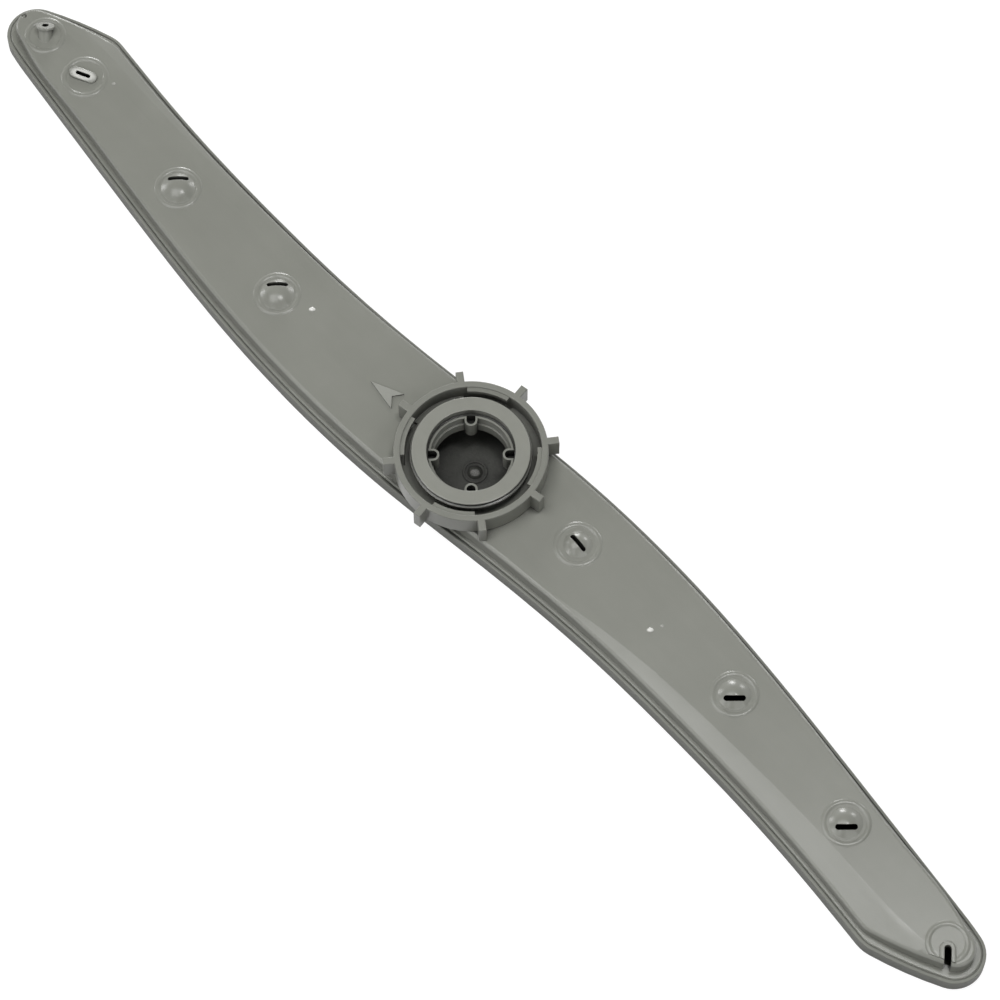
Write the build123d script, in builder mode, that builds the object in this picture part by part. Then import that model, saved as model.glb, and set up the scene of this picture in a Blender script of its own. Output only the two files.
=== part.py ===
import os
from math import cos, radians, sin, sqrt, tan

from build123d import *

# Spray arm of a dishwasher, in millimetres and degrees. The hub axis is Z, z = 0 is under the back shell and
# one arm points along +X. The two arms have the same outline under a half turn about the hub axis.

# Outline seen from above. Edge points are (share of the edge's run from the hub, share of the half width)
tip_reach = 250.0  # hub axis to the end of a tip
half_width = 28.2  # largest distance of an edge from the arm's long axis
tip_radius = 10.7
tip_drift = 0.6  # centre of the tip off the long axis, towards the trailing edge
tip_turn = 12.0  # angle at which the leading edge runs into the tip
end_cut_angle = 22.0  # slant of the cut between the trailing edge and the tip
end_cut_bow = 6.0  # the cut is a shallow arc that turns by this much each side of its slant
end_cut_length = 29.6
end_cut_rounding = 14.0
leading_edge = [(0.083, 0.933), (0.273, 1.0), (0.443, 0.938), (0.646, 0.755), (0.849, 0.532), (0.952, 0.417)]
trailing_edge = [(0.12, 0.738), (0.346, 0.578), (0.553, 0.546), (0.761, 0.585), (0.91, 0.676)]

# Back shell, a tray whose rim takes the face shell's flange
floor_thickness = 2.0
tray_wall = 2.8
tray_rounding = 1.2
rim_width = 1.4
rim_rounding = 0.45
seat_height = 5.0  # the ledge that carries the flange
gate_radius = 2.7  # bump on the floor under the inlet
gate_height = 1.4
gate_shift = 1.7  # off the hub axis
gate_ring_radius = 4.3  # fine bead round the bump
gate_ring_width = 0.6
gate_ring_height = 0.4

# Face shell
flange_thickness = 2.0
flange_width = 2.9  # outer edge of the rim to the crown's wall
end_flange = 1.0  # the flange is wider by this much round the tips and end cuts
flange_rounding = 0.4
seam_gap = 0.15  # between the flange and the rim round it
shell_wall = 2.0
crown_rise = 6.2  # crown above the flange
crown_rounding = 1.2
shoulder_slope = 16.0  # slope along the trailing edge of the crown
shoulder_ease = 3.0  # slope where the shoulder leaves the top
shoulder_radius = 25.0
shoulder_reach = 20.0  # how far the shoulder's slope runs outwards
shoulder_line = [  # share of the reach, share of the half width
    (0.08, 0.78), (0.2, 0.514), (0.3, 0.348), (0.4, 0.248), (0.56, 0.199),
    (0.74, 0.213), (0.82, 0.25), (0.88, 0.262), (0.93, 0.245), (1.0, 0.31),
]

# Jets on the crown
insert_radius = 8.6  # bead left round each jet by its mould insert
tip_insert_radius = 7.6
bead_width = 2.0
bead_height = 0.3
far_dome_radius = 6.1
far_dome_height = 2.1
near_dome_radius = 5.7
near_dome_height = 2.3
small_dome_radius = 5.0
small_dome_height = 2.2
fan_length = 7.6
fan_bearing = 48.0
far_fan_lean = 4.0  # fan jets spray this far off the vertical
near_fan_lean = 25.0
far_fan_width = 1.8
near_fan_width = 1.9
straight_fan_bearing = -4.0
straight_fan_width = 1.6
slot_jet_inset = 2.9  # insert bead inwards of the tip's centre
slot_jet_drift = 0.9  # and towards the end cut
tip_slot_width = 2.4
tip_slot_length = 9.2
tip_slot_bearing = -45.0
tip_slot_start = 1.1  # from the insert bead's centre
tip_hood_width = 5.4
tip_hood_height = 0.7
nose_slot_width = 1.9
nose_slot_start = 4.5  # from the tip's centre
nose_slot_drift = 0.3  # off the arm's middle line
nose_slot_depth = 3.5  # below the crown's top
pipe_jet_inset = 6.2
pipe_radius = 2.5
pipe_length = 3.9
brim_radius = 3.4
brim_height = 0.9
pipe_lean = 38.0
pipe_bearing = 132.0
pipe_bore = 1.2
bore_lean = 2.0
bore_shift = 2.4  # mouth of the bore off the insert bead's centre
pipe_rounding = 0.3
rim_jet_inset = 29.5  # insert bead from the tip's centre
rim_jet_shift = 0.8  # jet off the bead's centre, towards the tip
rim_jet_bearing = 26.0
rim_jet_length = 10.6
rim_jet_width = 4.3
rim_jet_height = 1.5
rim_jet_rounding = 0.5
rim_jet_tilt = 12.0  # of its top, towards the leading edge
rim_jet_tilt_bearing = -42.0
rim_jet_root = 1.2  # sunk into the crown
rim_slot_length = 5.6
rim_slot_width = 1.35
far_fans = [(-0.607, -0.171), (-0.381, -0.237)]  # share of the reach, share of the half width
near_fans = [(0.5, 0.262), (0.735, 0.106)]
straight_fans = [(0.193, 0.213)]
far_fan_shift = 3.2  # slot off the dome's centre
near_fan_shift = 1.3

# Arrow and gate marks on the crown
arrow_height = 0.5
arrow = [(-46.8, -5.2), (-35.1, 0.0), (-37.4, -3.6), (-34.1, -7.0)]
pip_height = 0.5
pips = [(-0.329, -0.057), (0.354, 0.089)]  # share of the reach, share of the half width
pip_radius = 1.1
small_pips = [(0.36, 0.23), (-0.802, 0.213)]
small_pip_radius = 0.5
small_pip_height = 0.3

# Neck: a sleeve with a thin upper rim and four channels that take the collar's legs
sleeve_radius = 14.95
sleeve_wall = 0.75
neck_wall = 1.5  # below the rim
neck_step = 3.5  # height of the thin rim
channel_count = 4
channel_bearing = 48.0
channel_width = 3.1
channel_depth = 3.2  # from the sleeve's outside inwards
fit_play = 0.1

# Bearing collar
collar_height = 9.1  # above the crown
inlet_radius = 15.5
inlet_depth = 3.3
plate_radius = 20.7
plate_thickness = 1.0
groove_width = 0.4
groove_depth = 0.6
lip_overhang = 0.7  # lip past the plate
lip_thickness = 1.5
lip_slope = 0.35  # the lip's top falls by this much to its edge
tube_radius = 17.3
collar_rounding = 0.4
leg_play = 0.35  # each side of a leg in its channel
leg_root = 1.8
hook_reach = 1.6
hook_thickness = 1.6

# Locking ring
ring_lift = 0.4  # clear of the crown
ring_height = 8.7
ring_radius = 26.9
ring_wall = 2.3
ring_floor = 2.0
ring_play = 0.3  # between the ring's floor and the collar's tube
ring_rounding = 0.4
lug_count = 8
lug_bearing = 10.5
lug_reach = 30.8
lug_width = 2.7
ledge_count = 4
ledge_depth = 1.5
ledge_span = 36.0
ledge_thickness = 1.7
ledge_drop = 0.6  # below the ring's top
port_margin = 3.0  # the recess under a ledge turns this far past each end
port_web = 0.7  # floor left under a recess

flange_top = seat_height + flange_thickness
crown_top = flange_top + crown_rise
ceiling = crown_top - shell_wall
collar_top = crown_top + collar_height
sleeve_top = collar_top - inlet_depth
ring_bottom = crown_top + ring_lift
ring_top = ring_bottom + ring_height
overlap = 0.5  # how far a raised mark is sunk into what carries it
upright = 0.1  # largest Z of a wall's normal

tip_centre = Vector(tip_reach - tip_radius, -tip_drift)
crown_level = Vector(0, 0, crown_top)


def heading(bearing):
    return Vector(cos(radians(bearing)), sin(radians(bearing)))


def places(points, run=tip_reach):
    return [Vector(share * run, side * half_width) for share, side in points]


# Round cap, sunk a little below its own base
def cap(radius, height):
    with BuildPart() as dome:
        with BuildSketch(Plane.XZ):
            with BuildLine():
                RadiusArc((radius, 0), (0, height), -(radius**2 + height**2) / (2 * height))
                Polyline((0, height), (0, -overlap), (radius, -overlap), (radius, 0))
            make_face()
        revolve(axis=Axis.Z)
    return dome.part


# Round bead along a circle, sunk as the cap is
def bead(radius):
    inner = radius - bead_width
    with BuildPart() as ring:
        with BuildSketch(Plane.XZ):
            with BuildLine():
                ThreePointArc((inner, 0), ((inner + radius) / 2, bead_height), (radius, 0))
                Polyline((radius, 0), (radius, -overlap), (inner, -overlap), (inner, 0))
            make_face()
        revolve(axis=Axis.Z)
    return ring.part


# Knots of the edge that runs from the end cut of the -X arm, past the hub, to the tip of the +X arm
tip_end_bearing = end_cut_angle + end_cut_bow - 90
cut_radius = end_cut_length / 2 / sin(radians(end_cut_bow))
cut_centre = tip_centre + heading(tip_end_bearing) * (tip_radius - cut_radius)
cut_corner = -(cut_centre + heading(end_cut_angle - end_cut_bow - 90) * cut_radius)
tip_run = tip_centre + heading(90 - tip_turn) * tip_radius
knots = [cut_corner]
knots += places(reversed(trailing_edge), cut_corner.X)
knots += places(leading_edge, tip_run.X)
knots += [tip_run]


# Outline of the whole arm, set in by one distance along the arms and another round the tips and end cuts
def plan(inset, end_inset):
    first_run = (knots[1] - cut_corner).normalized()
    start = cut_corner + Vector(first_run.Y, -first_run.X) * inset
    spoke = start + cut_centre
    along = spoke.dot(first_run)
    beyond = sqrt(along**2 - spoke.dot(spoke) + (cut_radius - end_inset) ** 2)
    corner = start - first_run * (along + beyond)
    edge = [corner]
    for before, knot, after in zip(knots, knots[1:], knots[2:]):
        run = (after - before).normalized()
        edge.append(knot + Vector(run.Y, -run.X) * inset)
    tip_bearings = (90 - tip_turn, 0, tip_end_bearing)
    tip_spoke = tip_radius - end_inset
    tip_start, tip_middle, tip_end = [tip_centre + heading(a) * tip_spoke for a in tip_bearings]
    cut_middle = cut_centre + heading(end_cut_angle - 90) * (cut_radius - end_inset)
    edge.append(tip_start)
    with BuildSketch() as outline:
        with BuildLine():
            for turn in (1, -1):
                ends = [first_run * turn, heading(-tip_turn) * turn]
                Spline(*[point * turn for point in edge], tangents=ends)
                ThreePointArc(tip_start * turn, tip_middle * turn, tip_end * turn)
                ThreePointArc(tip_end * turn, cut_middle * turn, -corner * turn)
        make_face()
        corners = [outline.vertices().sort_by_distance(corner * turn)[0] for turn in (1, -1)]
        fillet(corners, radius=end_cut_rounding - end_inset)
    return outline.sketch


# Back shell
with BuildPart() as back_shell:
    add(plan(0, 0))
    extrude(amount=flange_top)
    fillet(back_shell.edges().group_by(Axis.Z)[0], radius=tray_rounding)
    with BuildSketch(Plane.XY.offset(seat_height)):
        add(plan(rim_width, rim_width))
    extrude(amount=flange_thickness, mode=Mode.SUBTRACT)
    fillet(back_shell.edges().group_by(Axis.Z)[-1], radius=rim_rounding)
    with BuildSketch(Plane.XY.offset(floor_thickness)):
        add(plan(tray_wall, tray_wall))
    extrude(amount=flange_top - floor_thickness, mode=Mode.SUBTRACT)
    with Locations((0, gate_shift, floor_thickness)):
        add(cap(gate_radius, gate_height))
    with BuildSketch(Plane.XY.offset(floor_thickness - overlap)):
        with Locations((0, gate_shift)):
            Circle(gate_ring_radius)
            Circle(gate_ring_radius - gate_ring_width, mode=Mode.SUBTRACT)
    extrude(amount=overlap + gate_ring_height)

# Sloping shoulder along the trailing edge, as the material that it takes away from one arm
with BuildPart() as shoulder:
    bend = shoulder_radius
    ease = radians(shoulder_ease)
    slope = radians(shoulder_slope)
    mid = (ease + slope) / 2
    bend_mid = (bend * (sin(mid) - sin(ease)), bend * (cos(mid) - cos(ease)))
    bend_end = (bend * (sin(slope) - sin(ease)), bend * (cos(slope) - cos(ease)))
    slope_end = (shoulder_reach, bend_end[1] - (shoulder_reach - bend_end[0]) * tan(slope))
    for point in places(shoulder_line, -tip_reach):
        station = Plane(origin=point + Vector(0, 0, crown_top), x_dir=(0, 1, 0), z_dir=(1, 0, 0))
        with BuildSketch(station):
            with BuildLine():
                ThreePointArc((0, 0), bend_mid, bend_end)
                Polyline(bend_end, slope_end, (shoulder_reach, crown_rise), (0, crown_rise), (0, 0))
            make_face()
    loft()


# Crown as a solid: its walls stand on the plan, its top is flat with a shoulder on each trailing edge
def crown_block(inset, top, rounding):
    with BuildPart() as block:
        with BuildSketch(Plane.XY.offset(seat_height)):
            add(plan(inset, inset + end_flange))
        extrude(amount=top - seat_height)
        with Locations((0, 0, top - crown_top)):
            with PolarLocations(0, 2):
                add(shoulder.part, mode=Mode.SUBTRACT)
        if rounding:
            walls = block.faces().filter_by(lambda face: abs(face.normal_at().Z) < upright)
            rim = walls.edges().filter_by(lambda edge: edge.bounding_box().min.Z > flange_top + rounding)
            fillet(rim, radius=rounding)
    return block.part


slot_jet_place = tip_centre - Vector(slot_jet_inset, slot_jet_drift) + crown_level
pipe_jet_place = Vector(pipe_jet_inset, 0) - tip_centre + crown_level
rim_jet_place = Vector(rim_jet_inset - tip_centre.X, 0) + crown_level
far_fan_places = [place + crown_level for place in places(far_fans)]
near_fan_places = [place + crown_level for place in places(near_fans)]
straight_fan_places = [place + crown_level for place in places(straight_fans)]

# Beads left by the mould inserts, cut off where they run over the edge of the crown
with BuildPart() as inserts:
    with Locations(*far_fan_places, *near_fan_places, *straight_fan_places, rim_jet_place):
        add(bead(insert_radius))
    with Locations(slot_jet_place, pipe_jet_place):
        add(bead(tip_insert_radius))
    with BuildSketch(Plane.XY.offset(crown_top - overlap)):
        flat_inset = flange_width + crown_rounding
        add(plan(flat_inset, flat_inset + end_flange))
    extrude(amount=overlap + bead_height, mode=Mode.INTERSECT)

# Raised oblong jet
with BuildPart() as rim_jet:
    tilt = radians(rim_jet_tilt)
    rim_jet_axis = heading(rim_jet_tilt_bearing) * sin(tilt) + Vector(0, 0, cos(tilt))
    rim_jet_origin = rim_jet_place - Vector(rim_jet_shift, 0)
    rim_jet_plane = Plane(origin=rim_jet_origin, x_dir=heading(rim_jet_bearing), z_dir=rim_jet_axis)
    with BuildSketch(rim_jet_plane.offset(-rim_jet_root)):
        SlotOverall(rim_jet_length, rim_jet_width)
    extrude(amount=rim_jet_root + rim_jet_height)
    fillet(rim_jet.edges().group_by(Axis(rim_jet_origin, rim_jet_axis))[-1], radius=rim_jet_rounding)

# Low hood of the slot that runs over the edge of one tip, cut off at the edge of the crown
tip_slot_plane = Plane(slot_jet_place, x_dir=heading(tip_slot_bearing))
with BuildPart() as tip_hood:
    with BuildSketch(tip_slot_plane.offset(-overlap)):
        with Locations((tip_slot_start + tip_slot_length / 2, 0)):
            SlotOverall(tip_slot_length + tip_hood_width - tip_slot_width, tip_hood_width)
    extrude(amount=overlap + tip_hood_height)
    fillet(tip_hood.edges().group_by(Axis.Z)[-1], radius=tip_hood_height - bead_height / 2)
    with BuildSketch(Plane.XY.offset(crown_top - overlap)):
        add(plan(flat_inset, flat_inset + end_flange))
    extrude(amount=overlap + tip_hood_height, mode=Mode.INTERSECT)

# Leaning pipe of the other tip's jet, trimmed flush under the crown's wall
with BuildPart() as pipe:
    lean_axis = heading(pipe_bearing) * sin(radians(pipe_lean)) + Vector(0, 0, cos(radians(pipe_lean)))
    pipe_root = Plane(origin=pipe_jet_place, z_dir=lean_axis).offset(-2 * pipe_radius)
    with BuildSketch(pipe_root):
        Circle(pipe_radius)
    extrude(amount=2 * pipe_radius + pipe_length)
    with BuildSketch(Plane(origin=pipe_jet_place, z_dir=lean_axis).offset(pipe_length - brim_height)):
        Circle(brim_radius)
    extrude(amount=brim_height)
    fillet(pipe.edges().group_by(Axis(pipe_jet_place, lean_axis))[-1], radius=pipe_rounding)
    split(bisect_by=Plane.XY.offset(ceiling), keep=Keep.TOP)

# Face shell
with BuildPart() as face_shell:
    with BuildSketch(Plane.XY.offset(seat_height)):
        flange_inset = rim_width + seam_gap
        add(plan(flange_inset, flange_inset))
    extrude(amount=flange_thickness)
    fillet(face_shell.edges().group_by(Axis.Z)[-1], radius=flange_rounding)
    add(crown_block(flange_width, crown_top, crown_rounding))
    add(crown_block(flange_width + shell_wall, ceiling, 0), mode=Mode.SUBTRACT)
    add(inserts.part)

    # Domes with fan slots
    with Locations(*far_fan_places):
        add(cap(far_dome_radius, far_dome_height))
    with Locations(*near_fan_places):
        add(cap(near_dome_radius, near_dome_height))
    with Locations(*straight_fan_places):
        add(cap(small_dome_radius, small_dome_height))
    fans = [(place, far_fan_shift, far_fan_lean, far_fan_width) for place in far_fan_places]
    fans += [(place, -near_fan_shift, -near_fan_lean, near_fan_width) for place in near_fan_places]
    fans += [(place, 0, 0, straight_fan_width) for place in straight_fan_places]
    for place, shift, lean, width in fans:
        bearing = fan_bearing if shift else straight_fan_bearing
        across = heading(bearing + 90)
        mouth = place + across * shift
        spray = across * sin(radians(lean)) + Vector(0, 0, cos(radians(lean)))
        with BuildSketch(Plane(origin=mouth, x_dir=heading(bearing), z_dir=spray)):
            SlotOverall(fan_length, width)
        extrude(amount=shell_wall + near_dome_height, both=True, mode=Mode.SUBTRACT)

    # Slot of the oblong jet
    add(rim_jet.part)
    with BuildSketch(rim_jet_plane):
        SlotOverall(rim_slot_length, rim_slot_width)
    extrude(amount=shell_wall + rim_jet_height, both=True, mode=Mode.SUBTRACT)

    # Leaning pipe jet, whose bore is nearly upright
    add(pipe.part)
    bore_axis = heading(pipe_bearing) * sin(radians(bore_lean)) + Vector(0, 0, cos(radians(bore_lean)))
    bore_plane = Plane(origin=pipe_jet_place + heading(pipe_bearing) * bore_shift, z_dir=bore_axis)
    with BuildSketch(bore_plane.offset(-shell_wall - overlap)):
        Circle(pipe_bore)
    extrude(amount=shell_wall + overlap + brim_radius + pipe_length, mode=Mode.SUBTRACT)

    # Slot that runs over the edge of one tip and the small slot in the nose of the other
    add(tip_hood.part)
    with BuildSketch(tip_slot_plane.offset(-crown_rise)):
        with Locations((tip_slot_start + tip_slot_length / 2, 0)):
            SlotOverall(tip_slot_length, tip_slot_width)
    extrude(amount=crown_rise + tip_hood_height + overlap, mode=Mode.SUBTRACT)
    with BuildSketch(Plane(Vector(0, 0, crown_top - nose_slot_depth) - tip_centre, x_dir=(-1, 0, 0))):
        with Locations((nose_slot_start + tip_radius, nose_slot_drift)):
            SlotOverall(2 * tip_radius, nose_slot_width)
    extrude(amount=nose_slot_depth + overlap, mode=Mode.SUBTRACT)

    # Arrow and gate marks
    with BuildSketch(Plane.XY.offset(crown_top - overlap)):
        Polygon(*arrow, align=None)
    extrude(amount=overlap + arrow_height)
    with Locations(*[place + crown_level for place in places(pips)]):
        add(cap(pip_radius, pip_height))
    with Locations(*[place + crown_level for place in places(small_pips)]):
        add(cap(small_pip_radius, small_pip_height))

    # Neck with its four channels
    with BuildSketch(Plane.XY.offset(ceiling)):
        Circle(sleeve_radius)
    extrude(amount=sleeve_top - ceiling)
    channel_outside = channel_width + 2 * sleeve_wall
    for bottom, wall in ((ceiling - overlap, neck_wall), (sleeve_top - neck_step, sleeve_wall)):
        with BuildSketch(Plane.XY.offset(bottom)):
            Circle(sleeve_radius - wall)
            with PolarLocations(sleeve_radius, channel_count, start_angle=channel_bearing):
                SlotOverall(2 * (channel_depth + sleeve_wall), channel_outside, mode=Mode.SUBTRACT)
        extrude(amount=sleeve_top + overlap - bottom, mode=Mode.SUBTRACT)
    with BuildSketch(Plane.XY.offset(ceiling - overlap)):
        with PolarLocations(sleeve_radius, channel_count, start_angle=channel_bearing):
            SlotOverall(2 * channel_depth, channel_width)
        Circle(sleeve_radius + leg_play, mode=Mode.INTERSECT)
    extrude(amount=sleeve_top - ceiling + 2 * overlap, mode=Mode.SUBTRACT)

# Bearing collar
plate_bottom = collar_top - plate_thickness
lip_top = plate_bottom - groove_width
lip_bottom = lip_top - lip_thickness
lip_radius = plate_radius + lip_overhang
groove_radius = plate_radius - groove_depth
seat_radius = sleeve_radius + fit_play
with BuildPart() as bearing_collar:
    with BuildSketch(Plane.XZ):
        with BuildLine():
            Polyline(
                (seat_radius, crown_top), (tube_radius, crown_top), (tube_radius, lip_bottom),
                (lip_radius, lip_bottom), (lip_radius, lip_top - lip_slope), (groove_radius, lip_top),
                (groove_radius, plate_bottom), (plate_radius, plate_bottom), (plate_radius, collar_top),
                (inlet_radius, collar_top), (inlet_radius, sleeve_top), (seat_radius, sleeve_top),
                close=True,
            )
        make_face()
    revolve(axis=Axis.Z)
    circles = bearing_collar.edges().filter_by(GeomType.CIRCLE)
    fillet(circles.filter_by(lambda edge: edge.radius > groove_radius + fit_play), radius=collar_rounding)
    leg_width = channel_width - 2 * leg_play
    leg_depth = channel_depth - leg_play
    hook_top = ceiling - fit_play
    leg_stages = [
        (crown_top, crown_top + leg_root, seat_radius + fit_play),
        (hook_top, crown_top, sleeve_radius),
        (hook_top - hook_thickness, hook_top, sleeve_radius + hook_reach),
    ]
    for bottom, top, outside in leg_stages:
        with BuildSketch(Plane.XY.offset(bottom)):
            with PolarLocations(sleeve_radius, channel_count, start_angle=channel_bearing):
                SlotOverall(2 * leg_depth, leg_width)
            Circle(outside, mode=Mode.INTERSECT)
        extrude(amount=top - bottom)


# Sector of a ring, centred on +X
def sector(inner, outer, span):
    with BuildSketch() as piece:
        with BuildLine():
            CenterArc((0, 0), outer, -span / 2, span)
            CenterArc((0, 0), inner, -span / 2, span)
            for side in (-span / 2, span / 2):
                Line(heading(side) * inner, heading(side) * outer)
        make_face()
    return piece.sketch


# Locking ring
ring_inside = ring_radius - ring_wall
ledge_inside = ring_inside - ledge_depth
ledge_bearing = lug_bearing + 180 / lug_count
with BuildPart() as locking_ring:
    with BuildSketch(Plane.XY.offset(ring_bottom)):
        Circle(ring_radius)
        with PolarLocations((ring_inside + lug_reach) / 2, lug_count, start_angle=lug_bearing):
            Rectangle(lug_reach - ring_inside, lug_width)
        Circle(ring_inside, mode=Mode.SUBTRACT)
    extrude(amount=ring_height)
    fillet(locking_ring.edges().group_by(Axis.Z)[-1], radius=ring_rounding)
    with BuildSketch(Plane.XY.offset(ring_bottom)):
        Circle(ring_inside)
        Circle(tube_radius + ring_play, mode=Mode.SUBTRACT)
    extrude(amount=ring_floor)
    with BuildSketch(Plane.XY.offset(ring_bottom + port_web)):
        with PolarLocations(0, ledge_count, start_angle=ledge_bearing):
            add(sector(ledge_inside, ring_inside, ledge_span + 2 * port_margin))
    extrude(amount=ring_floor - port_web, mode=Mode.SUBTRACT)
    with BuildSketch(Plane.XY.offset(ring_top - ledge_drop)):
        with PolarLocations(0, ledge_count, start_angle=ledge_bearing):
            add(sector(ledge_inside, ring_inside + ring_wall / 2, ledge_span))
    extrude(amount=-ledge_thickness)

os.makedirs("parts", exist_ok=True)
face_shell.part.label = "face_shell"
export_step(face_shell.part, "parts/face_shell.step")
back_shell.part.label = "back_shell"
export_step(back_shell.part, "parts/back_shell.step")
bearing_collar.part.label = "bearing_collar"
export_step(bearing_collar.part, "parts/bearing_collar.step")
locking_ring.part.label = "locking_ring"
export_step(locking_ring.part, "parts/locking_ring.step")
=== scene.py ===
import math

import bmesh
import bpy
from mathutils import Matrix, Vector


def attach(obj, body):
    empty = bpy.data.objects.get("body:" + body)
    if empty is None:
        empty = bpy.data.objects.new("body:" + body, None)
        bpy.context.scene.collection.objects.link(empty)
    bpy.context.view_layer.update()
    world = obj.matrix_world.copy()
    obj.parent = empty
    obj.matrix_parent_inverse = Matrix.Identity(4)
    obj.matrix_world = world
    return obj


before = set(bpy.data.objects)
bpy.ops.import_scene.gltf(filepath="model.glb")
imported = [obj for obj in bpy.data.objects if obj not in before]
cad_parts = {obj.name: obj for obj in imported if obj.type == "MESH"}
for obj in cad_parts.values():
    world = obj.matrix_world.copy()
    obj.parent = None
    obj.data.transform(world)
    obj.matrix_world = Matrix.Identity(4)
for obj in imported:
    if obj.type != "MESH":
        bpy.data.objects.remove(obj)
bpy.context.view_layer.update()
print("frame loaded:", sorted(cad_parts))

scene = bpy.context.scene
scene.view_settings.view_transform = "Standard"


# Camera at the photograph's angle
cameraSpec = {
    "azimuth": 48.0,
    "elevation": 65.06,
    "roll": 0.30,
    "distance": 1.445,  # to the hub
    "imageSize": 1000,
    "pixelSize": 0.0003495,  # metres on the hub
    "hubPixel": (471.32, 469.20),  # the hub axis at the flange's top
    "hubHeight": 0.0070,
    "sensor": 36.0,
    "clipStart": 0.05,
    "clipEnd": 20,
}


def addCamera(spec):
    turn, tilt, roll = (math.radians(spec[key]) for key in ("azimuth", "elevation", "roll"))
    right = Vector((math.cos(turn), math.sin(turn), 0))
    away = Vector((-math.sin(turn), math.cos(turn), 0))
    up = away * math.sin(tilt) + Vector((0, 0, math.cos(tilt)))
    back = right.cross(up)
    imageRight = right * math.cos(roll) - up * math.sin(roll)
    imageUp = right * math.sin(roll) + up * math.cos(roll)
    half = spec["imageSize"] / 2
    shiftRight = (spec["hubPixel"][0] - half) * spec["pixelSize"]
    shiftUp = (half - spec["hubPixel"][1]) * spec["pixelSize"]
    hub = Vector((0, 0, spec["hubHeight"]))
    place = hub - imageRight * shiftRight - imageUp * shiftUp + back * spec["distance"]
    data = bpy.data.cameras.new("photoCamera")
    data.sensor_width = spec["sensor"]
    data.lens = spec["sensor"] * spec["distance"] / (spec["imageSize"] * spec["pixelSize"])
    data.clip_start = spec["clipStart"]
    data.clip_end = spec["clipEnd"]
    camera = bpy.data.objects.new("photoCamera", data)
    axes = Matrix((imageRight, imageUp, back)).transposed()
    camera.matrix_world = Matrix.Translation(place) @ axes.to_4x4()
    scene.collection.objects.link(camera)
    scene.camera = camera


addCamera(cameraSpec)
print("camera placed")


# Small helpers for node trees
def addNode(tree, kind, **settings):
    node = tree.nodes.new(kind)
    for key, value in settings.items():
        setattr(node, key, value)
    return node


def setInputs(node, **values):
    for key, value in values.items():
        node.inputs[key.replace("_", " ")].default_value = value
    return node


def addMath(tree, operation, first, second, clamp=False):
    node = addNode(tree, "ShaderNodeMath", operation=operation, use_clamp=clamp)
    for socket, value in zip(node.inputs, (first, second)):
        if isinstance(value, (int, float)):
            socket.default_value = value
        else:
            tree.links.new(value, socket)
    return node.outputs[0]


def addRemap(tree, value, low, high, newLow=0.0, newHigh=1.0, smooth=False):
    node = addNode(tree, "ShaderNodeMapRange", clamp=True)
    node.interpolation_type = "SMOOTHSTEP" if smooth else "LINEAR"
    tree.links.new(value, node.inputs["Value"])
    limits = {"From Min": low, "From Max": high, "To Min": newLow, "To Max": newHigh}
    for key, number in limits.items():
        if isinstance(number, (int, float)):
            node.inputs[key].default_value = number
        else:
            tree.links.new(number, node.inputs[key])
    return node.outputs["Result"]


def addBlend(tree, mask, first, second):
    node = addNode(tree, "ShaderNodeMix", data_type="RGBA")
    tree.links.new(mask, node.inputs["Factor"])
    for socket, value in ((node.inputs[6], first), (node.inputs[7], second)):  # A and B as colours
        if isinstance(value, tuple):
            socket.default_value = (*value, 1)
        else:
            tree.links.new(value, socket)
    return node.outputs[2]


def startGroup(name, inputs, outputs):
    tree = bpy.data.node_groups.new(name, "ShaderNodeTree")
    for label, value in inputs:
        kind = "NodeSocketVector" if isinstance(value, tuple) else "NodeSocketFloat"
        tree.interface.new_socket(label, in_out="INPUT", socket_type=kind).default_value = value
    for label, kind in outputs:
        tree.interface.new_socket(label, in_out="OUTPUT", socket_type=kind)
    return tree, addNode(tree, "NodeGroupInput").outputs, addNode(tree, "NodeGroupOutput").inputs


def addGroup(tree, group, **values):
    return setInputs(addNode(tree, "ShaderNodeGroup", node_tree=group), **values)


# Skin of a moulding: fine spark-eroded grain, slow clouds and faint flow streaks along the arm
skinSpec = {
    "noises": {"Grain": (3, 0.6), "Cloud": (4, 0.55), "Streak": (3, 0.5)},  # detail, roughness
    "streakStretch": (0.12, 1, 1),
    "span": (0.3, 0.7),  # part of the noise that is spread over 0 to 1
}


def makeMouldSkin(spec):
    tree, given, put = startGroup(
        "mouldSkin",
        [("Grain Size", 0.0004), ("Cloud Size", 0.02), ("Streak Size", 0.004)],
        [(key, "NodeSocketFloat") for key in spec["noises"]],
    )
    place = addNode(tree, "ShaderNodeTexCoord").outputs["Object"]
    stretch = addNode(tree, "ShaderNodeMapping")
    stretch.inputs["Scale"].default_value = spec["streakStretch"]
    tree.links.new(place, stretch.inputs["Vector"])
    for key, (detail, rough) in spec["noises"].items():
        noise = addNode(tree, "ShaderNodeTexNoise")
        setInputs(noise, Detail=detail, Roughness=rough)
        vector = stretch.outputs[0] if key == "Streak" else place
        tree.links.new(vector, noise.inputs["Vector"])
        scale = addMath(tree, "DIVIDE", 1.0, given[key + " Size"])
        tree.links.new(scale, noise.inputs["Scale"])
        tree.links.new(addRemap(tree, noise.outputs[0], *spec["span"]), put[key])
    return tree


# Edges painted paler, partly as wear and partly as a painted highlight; painted shade in inside
# corners; and painted shade for the unlit depth of slots and gaps
paintedLightSpec = {
    "bevelSamples": 4,
    "cornerSamples": 6,
    "holeSamples": 8,
    "bend": (0.995, 0.75),  # bevelled against true normal, from flat to a full edge
    "edgeOpen": (0.7, 0.95),  # open sky that an edge needs
    "cornerOpen": (0.85, 0.3),  # open sky at which a corner's shade starts, and is full
}


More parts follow.
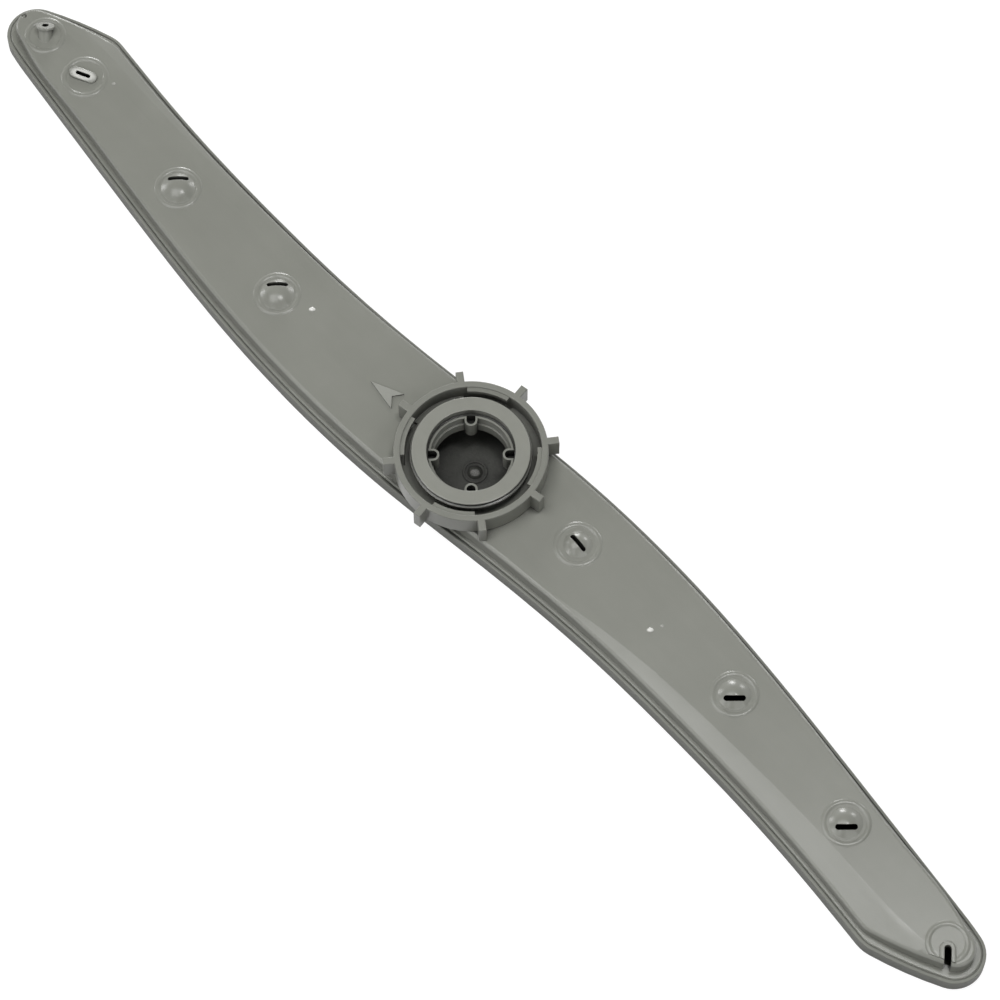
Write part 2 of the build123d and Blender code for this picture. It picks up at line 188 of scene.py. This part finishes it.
def makePaintedLightMasks(spec):
    tree, given, put = startGroup(
        "paintedLightMasks",
        [("Radius", 0.0005), ("Corner Depth", 0.0025), ("Hole Depth", 0.025),
         ("Open", 0.6), ("Shut", 0.1)],
        [("Edge", "NodeSocketFloat"), ("Corner", "NodeSocketFloat"), ("Hole", "NodeSocketFloat"),
         ("Normal", "NodeSocketVector")],
    )
    bevel = addNode(tree, "ShaderNodeBevel", samples=spec["bevelSamples"])
    tree.links.new(given["Radius"], bevel.inputs["Radius"])
    facing = addNode(tree, "ShaderNodeVectorMath", operation="DOT_PRODUCT")
    tree.links.new(bevel.outputs[0], facing.inputs[0])
    tree.links.new(addNode(tree, "ShaderNodeNewGeometry").outputs["Normal"], facing.inputs[1])
    hollow = addNode(
        tree, "ShaderNodeAmbientOcclusion", samples=spec["cornerSamples"], only_local=True)
    tree.links.new(given["Corner Depth"], hollow.inputs["Distance"])
    deep = addNode(tree, "ShaderNodeAmbientOcclusion", samples=spec["holeSamples"])
    tree.links.new(given["Hole Depth"], deep.inputs["Distance"])
    bend = addRemap(tree, facing.outputs["Value"], *spec["bend"])
    clear = addRemap(tree, hollow.outputs["AO"], *spec["edgeOpen"])
    tree.links.new(addMath(tree, "MULTIPLY", bend, clear), put["Edge"])
    tree.links.new(addRemap(tree, hollow.outputs["AO"], *spec["cornerOpen"]), put["Corner"])
    shade = addRemap(tree, deep.outputs["AO"], given["Open"], given["Shut"], smooth=True)
    tree.links.new(shade, put["Hole"])
    tree.links.new(bevel.outputs[0], put["Normal"])
    return tree


# Pale oval mark in plan: a painted highlight on the gate bump, the jet's boss and the arrow, and
# pale spots on the gate pips
markSpec = {"fade": (1.0, 0.6)}  # shares of the half size, from no mark to a full one


def makePaleMark(spec):
    still = (0.0, 0.0, 0.0)
    tree, given, put = startGroup(
        "paleMark",
        [("Place", still), ("Half Size", (0.001, 0.001, 0.001)), ("Turn", still)],
        [("Mark", "NodeSocketFloat")],
    )
    oval = addNode(tree, "ShaderNodeMapping", vector_type="TEXTURE")
    tree.links.new(addNode(tree, "ShaderNodeTexCoord").outputs["Object"], oval.inputs["Vector"])
    for label, socket in (("Place", "Location"), ("Half Size", "Scale"), ("Turn", "Rotation")):
        tree.links.new(given[label], oval.inputs[socket])
    apart = addNode(tree, "ShaderNodeVectorMath", operation="LENGTH")
    tree.links.new(oval.outputs[0], apart.inputs[0])
    mark = addRemap(tree, apart.outputs["Value"], *spec["fade"], smooth=True)
    tree.links.new(mark, put["Mark"])
    return tree


mouldSkin = makeMouldSkin(skinSpec)
paintedLightMasks = makePaintedLightMasks(paintedLightSpec)
paleMark = makePaleMark(markSpec)
print("finish groups made")


# Moulded plastics, one dictionary for each
rimJetHighlightPlace = (-0.21037, -0.00021, 0.01467)  # painted highlight on the top of the jet's boss
# painted highlight over the raised arrow
arrowHighlightPlace = (-0.0388, -0.0039, 0.01385)
gateHighlightPlace = (0.0005, 0.0012, 0.0033)  # painted highlight on the bump on the floor of the well
shellFinish = {
    "name": "backPolypropylene",
    "deep": (0.235, 0.240, 0.212),
    "pale": (0.265, 0.270, 0.240),
    "toneShare": {"Cloud": 0.65, "Streak": 0.25, "Grain": 0.10},  # from deep to pale
    # edge: paler colour painted on edges as a highlight, partly also wear
    "edge": (0.300, 0.304, 0.272),
    "edgeShare": 0.8,
    # corner: painted shade in inside corners
    "corner": (0.150, 0.153, 0.134),
    # hole: painted shade in the depth of slots, gaps and hollows
    "hole": (0.012, 0.012, 0.011),
    "markColour": (0.80, 0.80, 0.76),
    "grain": 0.00045,
    "cloud": 0.030,
    "streak": 0.006,
    "rounding": 0.00035,
    "cornerDepth": 0.0012,
    "cornerShare": 0.45,
    "holeDepth": 0.025,
    "open": 0.85,  # open sky at which the shade of hollows starts, and at which it is full
    "shut": 0.34,
    "holeShare": 0.94,
    "roughness": (0.48, 0.56),
    "ior": 1.49,
    "shine": 0.3,
    "bump": 0.000008,
    # painted highlight on the gate bump
    "marks": [(gateHighlightPlace, (0.0022, 0.0016, 0.0013), 48, 1.0)],
}
faceFinish = dict(
    shellFinish, name="facePolypropylene",
    deep=(0.245, 0.250, 0.221), pale=(0.275, 0.280, 0.249), edge=(0.320, 0.324, 0.290),
    open=0.62, shut=0.08, holeShare=0.92,
    roughness=(0.22, 0.27), shine=0.5, bump=0.000002,
    marks=[  # place, half sizes, turn and strength
        ((-0.08225, -0.0016, 0.0134), (0.0014, 0.0009, 0.0014), 48, 1.0),
        ((0.0885, 0.0025, 0.0134), (0.0014, 0.0009, 0.0014), 48, 1.0),
        ((0.0900, 0.0065, 0.0133), (0.0008, 0.0006, 0.0008), 48, 0.25),
        ((-0.2005, 0.0060, 0.0133), (0.0009, 0.0006, 0.0009), 48, 0.25),
        # painted highlight on the top of the jet's boss
        (rimJetHighlightPlace, (0.0057, 0.0027, 0.0011), 26, 0.6),
        # painted highlight over the raised arrow
        (arrowHighlightPlace, (0.0105, 0.0060, 0.0004), 0, 0.16),
    ],
)
collarFinish = dict(
    shellFinish, name="greyAcetal", marks=[],
    deep=(0.264, 0.268, 0.238), pale=(0.294, 0.298, 0.266), edge=(0.345, 0.349, 0.315),
    grain=0.00035, cloud=0.012, streak=0.003,
    open=0.92, shut=0.44,
    roughness=(0.20, 0.26), shine=0.5, bump=0.000002,
)
ringFinish = dict(
    shellFinish, name="ringPolypropylene", marks=[],
    deep=(0.218, 0.222, 0.196), pale=(0.248, 0.252, 0.224), edge=(0.320, 0.324, 0.290),
    cloud=0.014, streak=0.004,
    cornerDepth=0.0030, cornerShare=0.5, open=0.75, shut=0.0, holeShare=0.42,
    roughness=(0.28, 0.34), bump=0.000002,
)
weldFinish = dict(
    shellFinish, name="weldPolypropylene", marks=[],
    grain=0.0003, cloud=0.004, streak=0.002,
    cornerShare=0.1, holeShare=0.15,
    roughness=(0.45, 0.60), bump=0.000006,
)


def makePlastic(finish):
    material = bpy.data.materials.new(finish["name"])
    material.use_nodes = True
    tree = material.node_tree
    shader = tree.nodes["Principled BSDF"]
    skin = addGroup(tree, mouldSkin, Grain_Size=finish["grain"], Cloud_Size=finish["cloud"],
                    Streak_Size=finish["streak"])
    paintMasks = addGroup(tree, paintedLightMasks, Radius=finish["rounding"], Corner_Depth=finish["cornerDepth"],
                   Hole_Depth=finish["holeDepth"], Open=finish["open"], Shut=finish["shut"])
    parts = [addMath(tree, "MULTIPLY", skin.outputs[key], share)
             for key, share in finish["toneShare"].items()]
    tone = addMath(tree, "ADD", addMath(tree, "ADD", parts[0], parts[1]), parts[2], clamp=True)
    colour = addBlend(tree, tone, finish["deep"], finish["pale"])
    # Edges painted paler: a painted highlight, partly also wear
    share = addMath(tree, "MULTIPLY", paintMasks.outputs["Edge"], finish["edgeShare"])
    colour = addBlend(tree, share, colour, finish["edge"])
    # Painted shade in inside corners
    share = addMath(tree, "MULTIPLY", paintMasks.outputs["Corner"], finish["cornerShare"])
    colour = addBlend(tree, share, colour, finish["corner"])
    for place, halfSize, turn, strength in finish["marks"]:
        mark = addGroup(
            tree, paleMark, Place=place, Half_Size=halfSize, Turn=(0, 0, math.radians(turn)))
        share = addMath(tree, "MULTIPLY", mark.outputs["Mark"], strength)
        colour = addBlend(tree, share, colour, finish["markColour"])
    # Painted shade: the depth of slots, gaps and hollows darkened towards near black
    share = addMath(tree, "MULTIPLY", paintMasks.outputs["Hole"], finish["holeShare"])
    colour = addBlend(tree, share, colour, finish["hole"])
    tree.links.new(colour, shader.inputs["Base Color"])
    rough = addRemap(tree, skin.outputs["Grain"], 0, 1, *finish["roughness"])
    tree.links.new(rough, shader.inputs["Roughness"])
    bump = addNode(tree, "ShaderNodeBump")
    setInputs(bump, Strength=1.0, Distance=finish["bump"])
    tree.links.new(skin.outputs["Grain"], bump.inputs["Height"])
    tree.links.new(paintMasks.outputs["Normal"], bump.inputs["Normal"])
    tree.links.new(bump.outputs[0], shader.inputs["Normal"])
    shader.inputs["IOR"].default_value = finish["ior"]
    shader.inputs["Specular IOR Level"].default_value = finish["shine"]
    return material


nodeFinish = {
    "face_shell": faceFinish,
    "back_shell": shellFinish,
    "bearing_collar": collarFinish,
    "locking_ring": ringFinish,
}
for nodeName, finish in nodeFinish.items():
    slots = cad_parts[nodeName].data.materials
    slots.clear()
    slots.append(makePlastic(finish))
print("plastics made:", len(nodeFinish))


# Weld flash squeezed up in the seam between the shells, along the foot of the rim
weldSpec = {
    "name": "weld_flash",
    "inputs": {
        "Seat Height": 0.0050,  # foot of the rim, where the path is read
        "Lift": 0.00168,
        "Step": 0.0015,
        "Thickness": 0.00017,
        "Waver": 0.00006,
        "Wave Size": 0.0045,
        "Seed": 3.0,
    },
    "footAngle": -1.0,  # edges folded inwards more than this, in radians
    "seatGap": 0.00002,
    "mergeGap": 0.000002,
    "sides": 6,
}


def makeWeldTree(spec, material):
    tree = bpy.data.node_groups.new("weldSeam", "GeometryNodeTree")
    tree.interface.new_socket("Shell", in_out="INPUT", socket_type="NodeSocketGeometry")
    for label in spec["inputs"]:
        tree.interface.new_socket(label, in_out="INPUT", socket_type="NodeSocketFloat")
    tree.interface.new_socket("Flash", in_out="OUTPUT", socket_type="NodeSocketGeometry")
    given = addNode(tree, "NodeGroupInput").outputs
    ends = addNode(tree, "GeometryNodeInputMeshEdgeVertices").outputs
    fold = addNode(tree, "GeometryNodeInputMeshEdgeAngle").outputs["Signed Angle"]
    onFoot = addMath(tree, "LESS_THAN", fold, spec["footAngle"])
    for key in ("Position 1", "Position 2"):
        split = addNode(tree, "ShaderNodeSeparateXYZ")
        tree.links.new(ends[key], split.inputs[0])
        apart = addMath(tree, "SUBTRACT", split.outputs["Z"], given["Seat Height"])
        onSeat = addMath(tree, "COMPARE", apart, 0.0)
        onSeat.node.inputs[2].default_value = spec["seatGap"]
        onFoot = addMath(tree, "MULTIPLY", onFoot, onSeat)
    path = addNode(tree, "GeometryNodeMeshToCurve")
    tree.links.new(given["Shell"], path.inputs["Mesh"])
    tree.links.new(onFoot, path.inputs["Selection"])
    even = addNode(tree, "GeometryNodeResampleCurve", mode="LENGTH")
    tree.links.new(path.outputs[0], even.inputs["Curve"])
    tree.links.new(given["Step"], even.inputs["Length"])
    noise = addNode(tree, "ShaderNodeTexNoise", noise_dimensions="4D")
    tree.links.new(addNode(tree, "GeometryNodeInputPosition").outputs[0], noise.inputs["Vector"])
    tree.links.new(given["Seed"], noise.inputs["W"])
    tree.links.new(addMath(tree, "DIVIDE", 1.0, given["Wave Size"]), noise.inputs["Scale"])
    swing = addMath(tree, "SUBTRACT", noise.outputs[0], 0.5)
    wave = addMath(tree, "MULTIPLY", swing, given["Waver"])
    rise = addNode(tree, "ShaderNodeCombineXYZ")
    tree.links.new(addMath(tree, "ADD", given["Lift"], wave), rise.inputs["Z"])
    placed = addNode(tree, "GeometryNodeSetPosition")
    tree.links.new(even.outputs[0], placed.inputs["Geometry"])
    tree.links.new(rise.outputs[0], placed.inputs["Offset"])
    ring = addNode(tree, "GeometryNodeCurvePrimitiveCircle")
    ring.inputs["Resolution"].default_value = spec["sides"]
    tree.links.new(given["Thickness"], ring.inputs["Radius"])
    bead = addNode(tree, "GeometryNodeCurveToMesh")
    tree.links.new(placed.outputs[0], bead.inputs["Curve"])
    tree.links.new(ring.outputs[0], bead.inputs["Profile Curve"])
    real = addNode(tree, "GeometryNodeRealizeInstances")
    tree.links.new(bead.outputs[0], real.inputs[0])
    dressed = addNode(tree, "GeometryNodeSetMaterial")
    dressed.inputs["Material"].default_value = material
    tree.links.new(real.outputs[0], dressed.inputs["Geometry"])
    tree.links.new(dressed.outputs[0], addNode(tree, "NodeGroupOutput").inputs[0])
    return tree


def addWeldFlash(spec):
    shell = bmesh.new()
    shell.from_mesh(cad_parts["back_shell"].data)
    bmesh.ops.remove_doubles(shell, verts=shell.verts, dist=spec["mergeGap"])
    guide = bpy.data.objects.new("weldGuide", bpy.data.meshes.new("weldGuide"))
    shell.to_mesh(guide.data)
    shell.free()
    scene.collection.objects.link(guide)
    tree = makeWeldTree(spec, makePlastic(weldFinish))
    modifier = guide.modifiers.new("weldSeam", "NODES")
    modifier.node_group = tree
    for item in tree.interface.items_tree:
        if item.in_out == "INPUT" and item.name in spec["inputs"]:
            modifier[item.identifier] = spec["inputs"][item.name]
    evaluated = guide.evaluated_get(bpy.context.evaluated_depsgraph_get())
    mesh = bpy.data.meshes.new_from_object(evaluated)
    guide.modifiers.remove(modifier)
    bpy.data.objects.remove(guide)
    skin = bmesh.new()
    skin.from_mesh(mesh)
    bmesh.ops.recalc_face_normals(skin, faces=skin.faces)
    skin.to_mesh(mesh)
    skin.free()
    mesh.shade_smooth()
    mesh.name = spec["name"]
    piece = bpy.data.objects.new(spec["name"], mesh)
    scene.collection.objects.link(piece)
    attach(piece, "arm")
    return len(mesh.polygons)


print("weld flash laid:", addWeldFlash(weldSpec), "faces")


# Studio: soft lamps aimed at the hub, by bearing and height as the camera sees them
studio = {
    "worldStrength": 0.0,  # all light comes from the lamps and the floor
    "lampDistance": 1.5,
    "lamps": [  # bearing from the camera's right, anticlockwise, then height, width and power
        (91, 13, 0.42, 7.2),
        (148, 19, 0.42, 3.2),
        (50, 22, 0.38, 3.0),
        (17, 80, 0.32, 5.4),
        (205, 25, 0.60, 4.1),
        (238, 45, 0.40, 1.6),
        (300, 35, 1.20, 6.4),
        (15, 30, 0.60, 0.6),
        (180, 72, 0.80, 7.4),
    ],
    "floorRadius": 3.0,
    "sweepRadius": 1.2,
    "wallHeight": 3.0,
    "sweepSteps": 10,
    "floorSides": 64,
    "floorSeen": (0.22, 0.22, 0.22),
    "floorGlow": 0.90,
    "floorBounce": (0.12, 0.12, 0.12),
}


def addLamps(spec):
    for index, (bearing, height, width, power) in enumerate(spec["lamps"]):
        turn = math.radians(bearing + cameraSpec["azimuth"])
        tilt = math.radians(height)
        toward = Vector((math.cos(turn) * math.cos(tilt), math.sin(turn) * math.cos(tilt),
                         math.sin(tilt)))
        data = bpy.data.lights.new("softbox%d" % index, "AREA")
        data.energy = power
        data.size = width
        lamp = bpy.data.objects.new("softbox%d" % index, data)
        lamp.location = toward * spec["lampDistance"]
        lamp.rotation_euler = toward.to_track_quat("Z", "Y").to_euler()
        lamp.visible_camera = False
        scene.collection.objects.link(lamp)


def addWorld(spec):
    world = bpy.data.worlds.new("studioWorld")
    world.use_nodes = True
    world.node_tree.nodes["Background"].inputs["Strength"].default_value = spec["worldStrength"]
    scene.world = world


# White to the eye and in reflections, darker for bounced light so that the walls keep their shade
def makeFloorPaint(spec):
    material = bpy.data.materials.new("studioFloor")
    material.use_nodes = True
    tree = material.node_tree
    tree.nodes.remove(tree.nodes["Principled BSDF"])
    path = addNode(tree, "ShaderNodeLightPath").outputs
    seen = addMath(tree, "ADD", path["Is Camera Ray"], path["Is Glossy Ray"], clamp=True)
    seen = addMath(tree, "ADD", seen, path["Is Transmission Ray"], clamp=True)
    matte = addNode(tree, "ShaderNodeBsdfDiffuse")
    tone = addBlend(tree, seen, spec["floorBounce"], spec["floorSeen"])
    tree.links.new(tone, matte.inputs["Color"])
    glow = addNode(tree, "ShaderNodeEmission")
    tree.links.new(addMath(tree, "MULTIPLY", seen, spec["floorGlow"]), glow.inputs["Strength"])
    both = addNode(tree, "ShaderNodeAddShader")
    tree.links.new(matte.outputs[0], both.inputs[0])
    tree.links.new(glow.outputs[0], both.inputs[1])
    tree.links.new(both.outputs[0], tree.nodes["Material Output"].inputs["Surface"])
    return material


# A round floor that sweeps up into a wall, flat shaded
def addFloor(spec):
    profile = [(spec["floorRadius"], 0.0)]
    for step in range(1, spec["sweepSteps"] + 1):
        bend = math.radians(90) * step / spec["sweepSteps"]
        profile.append((spec["floorRadius"] + spec["sweepRadius"] * math.sin(bend),
                        spec["sweepRadius"] * (1 - math.cos(bend))))
    profile.append((profile[-1][0], spec["wallHeight"]))
    sides = spec["floorSides"]
    turns = [math.tau * side / sides for side in range(sides)]
    points = [(radius * math.cos(turn), radius * math.sin(turn), height)
              for radius, height in profile for turn in turns]
    faces = [tuple(range(sides))]
    for row in range(len(profile) - 1):
        for side in range(sides):
            after = (side + 1) % sides
            faces.append((row * sides + side, row * sides + after,
                          (row + 1) * sides + after, (row + 1) * sides + side))
    mesh = bpy.data.meshes.new("studioFloor")
    mesh.from_pydata(points, [], faces)
    mesh.materials.append(makeFloorPaint(spec))
    floor = bpy.data.objects.new("studioFloor", mesh)
    scene.collection.objects.link(floor)


addLamps(studio)
addWorld(studio)
addFloor(studio)
print("studio lit:", len(studio["lamps"]), "lamps")
